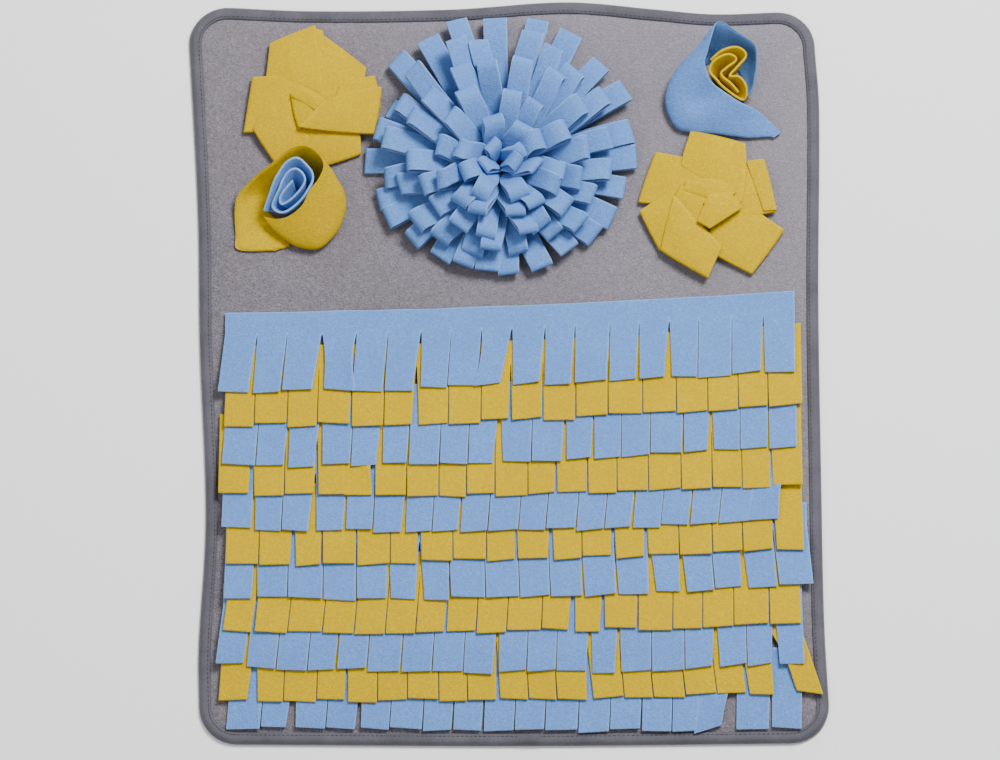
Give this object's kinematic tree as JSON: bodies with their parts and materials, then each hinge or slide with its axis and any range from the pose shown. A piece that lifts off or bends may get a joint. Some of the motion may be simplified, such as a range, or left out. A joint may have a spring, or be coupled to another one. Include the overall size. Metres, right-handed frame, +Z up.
{
  "type": "snuffle mat",
  "caption": "Flat fleece foraging mat with rounded corners, rows of slit fringe, a looped pom-pom, folded rosettes and wrapped buds for hiding treats",
  "frame": {"origin": "Centre of the mat's outline, on the surface it lies on", "axes": "+X across the mat to the right, +Y along it toward the pom-pom end, +Z up out of the mat"},
  "size_m": [0.506, 0.6015, 0.0615],
  "materials": {
    "grey_plush": "short-pile plush, matte, mottled grey",
    "dark_binding": "smooth woven tape, matte",
    "blue_fleece": "anti-pill polyester fleece, matte, soft nap",
    "yellow_fleece": "anti-pill polyester fleece, matte, soft nap"
  },
  "bodies": {
    "root": {"bud_left_roll": "blue_fleece", "bud_left_wrap": "yellow_fleece", "bud_right_roll": "yellow_fleece", "bud_right_wrap": "blue_fleece", "edge_binding": "dark_binding", "fringe_row_01": "blue_fleece", "fringe_row_02": "yellow_fleece", "fringe_row_03": "blue_fleece", "fringe_row_04": "yellow_fleece", "fringe_row_05": "blue_fleece", "fringe_row_06": "yellow_fleece", "fringe_row_07": "blue_fleece", "fringe_row_08": "yellow_fleece", "fringe_row_09": "blue_fleece", "fringe_row_10": "yellow_fleece", "fringe_row_11": "blue_fleece", "mat_panel": "grey_plush", "pom_turn_1": "blue_fleece", "pom_turn_2": "blue_fleece", "pom_turn_3": "blue_fleece", "pom_turn_4": "blue_fleece", "pom_turn_5": "blue_fleece", "rosette_left": "yellow_fleece", "rosette_right": "yellow_fleece"}
  },
  "joints": []
}
